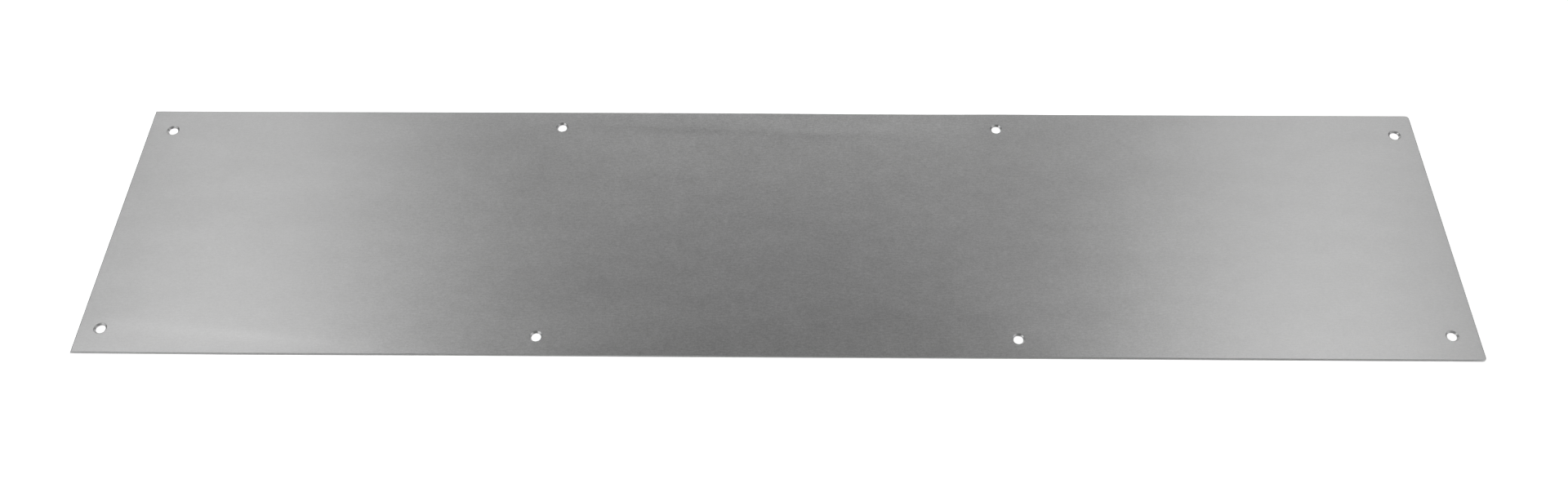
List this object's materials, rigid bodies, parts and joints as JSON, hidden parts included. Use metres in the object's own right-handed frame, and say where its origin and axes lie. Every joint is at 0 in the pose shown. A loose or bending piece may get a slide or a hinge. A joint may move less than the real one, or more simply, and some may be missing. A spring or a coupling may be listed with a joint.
{
  "type": "kick plate",
  "caption": "Flat rectangular door kick plate in satin steel sheet with a fine bevel and countersunk screw holes along both long edges.",
  "frame": {"origin": "middle of the flat back, the face that lies against the door", "axes": "+X along the plate's length, +Y across it from the front long edge to the back one, +Z out of the finished face"},
  "size_m": [0.8636, 0.2032, 0.0013],
  "materials": {
    "satin_steel": "satin stainless steel with a fine straight grain along the length"
  },
  "bodies": {
    "root": {"kick_plate": "satin_steel"}
  },
  "joints": []
}
